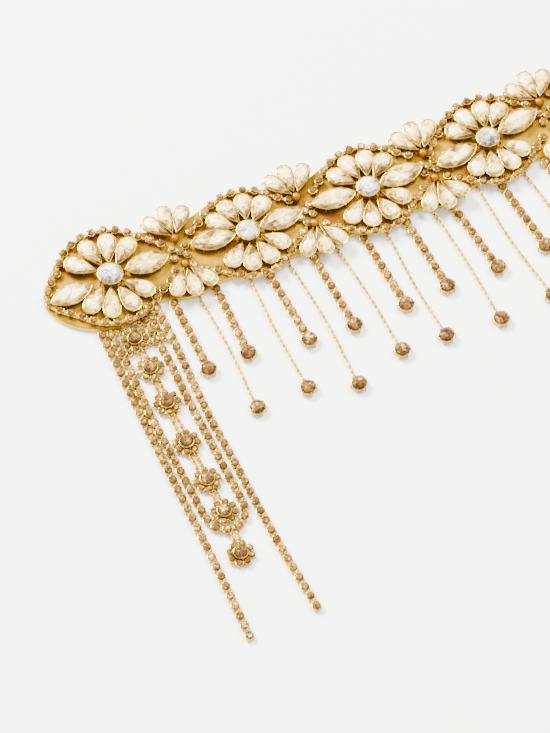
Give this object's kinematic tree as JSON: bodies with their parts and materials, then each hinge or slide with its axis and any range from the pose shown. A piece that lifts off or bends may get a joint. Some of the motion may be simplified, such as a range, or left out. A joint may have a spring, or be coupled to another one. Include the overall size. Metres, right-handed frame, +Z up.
{
  "type": "flapper headband",
  "caption": "Flat jewelled headband: crystal flowers on a scalloped gold leather band, a chain fringe along one edge and a rosette tassel at each end.",
  "frame": {"origin": "on the underside of the band, below the middle of the middle flower", "axes": "+X along the band at its middle, towards the end that the picture cuts off; +Y across the band, towards the edge without the fringe; +Z up, from the underside to the stones"},
  "size_m": [0.3062, 0.1526, 0.0074],
  "materials": {
    "gold_leather": "gold-coated leather, satin",
    "champagne_crystal": "foiled cut crystal in gold settings",
    "smoky_stone": "foiled cut topaz and smoky stones in gold cups",
    "pale_gold": "pale gold plating, polished, set with smoky stones"
  },
  "bodies": {
    "root": {"backing": "gold_leather", "cup_strand_1": "pale_gold", "cup_strand_10": "pale_gold", "cup_strand_11": "pale_gold", "cup_strand_12": "pale_gold", "cup_strand_13": "pale_gold", "cup_strand_14": "pale_gold", "cup_strand_15": "pale_gold", "cup_strand_2": "pale_gold", "cup_strand_3": "pale_gold", "cup_strand_4": "pale_gold", "cup_strand_5": "pale_gold", "cup_strand_6": "pale_gold", "cup_strand_7": "pale_gold", "cup_strand_8": "pale_gold", "cup_strand_9": "pale_gold", "fan_low_1": "champagne_crystal", "fan_low_2": "champagne_crystal", "fan_low_3": "champagne_crystal", "fan_low_4": "champagne_crystal", "fan_low_5": "champagne_crystal", "fan_low_6": "champagne_crystal", "fan_top_1": "champagne_crystal", "fan_top_2": "champagne_crystal", "fan_top_3": "champagne_crystal", "fan_top_4": "champagne_crystal", "fan_top_5": "champagne_crystal", "fan_top_6": "champagne_crystal", "fine_strand_1": "pale_gold", "fine_strand_10": "pale_gold", "fine_strand_11": "pale_gold", "fine_strand_12": "pale_gold", "fine_strand_13": "pale_gold", "fine_strand_14": "pale_gold", "fine_strand_2": "pale_gold", "fine_strand_3": "pale_gold", "fine_strand_4": "pale_gold", "fine_strand_5": "pale_gold", "fine_strand_6": "pale_gold", "fine_strand_7": "pale_gold", "fine_strand_8": "pale_gold", "fine_strand_9": "pale_gold", "flower_1": "champagne_crystal", "flower_2": "champagne_crystal", "flower_3": "champagne_crystal", "flower_4": "champagne_crystal", "flower_5": "champagne_crystal", "flower_6": "champagne_crystal", "flower_7": "champagne_crystal", "left_drop": "smoky_stone", "left_inner_chain": "pale_gold", "left_loop": "pale_gold", "left_outer_chain": "pale_gold", "left_rosettes": "smoky_stone", "right_drop": "smoky_stone", "right_inner_chain": "pale_gold", "right_loop": "pale_gold", "right_outer_chain": "pale_gold", "right_rosettes": "smoky_stone"}
  },
  "joints": []
}
